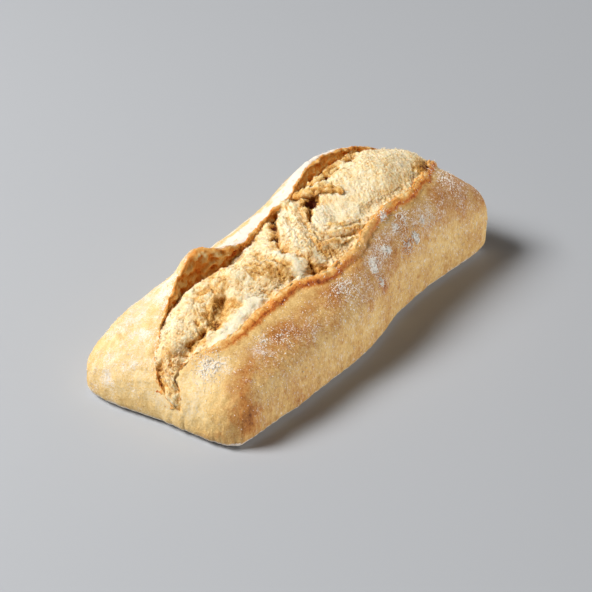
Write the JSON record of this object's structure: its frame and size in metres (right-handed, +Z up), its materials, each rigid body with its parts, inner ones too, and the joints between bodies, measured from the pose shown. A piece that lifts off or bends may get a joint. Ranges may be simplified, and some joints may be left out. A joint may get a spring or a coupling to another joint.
{
  "type": "ciabatta loaf",
  "caption": "Whole uncut ciabatta loaf: a long flat-based pillow of bread whose floury crust has burst open along the top, showing torn crumb between raised lips of crust.",
  "frame": {"origin": "middle of the loaf's bounding box, on the plane of its flat base", "axes": "+X along the loaf towards its taller, steeper end; +Y towards the flank under the two raised flaps of crust; +Z up"},
  "size_m": [0.2318, 0.0994, 0.0629],
  "materials": {
    "crust": "matte golden-brown baked crust dusted with flour",
    "crumb": "matte cream torn crumb with toasted high spots",
    "flour": "matte white flour"
  },
  "bodies": {
    "root": {"loaf": "crust"}
  },
  "joints": []
}
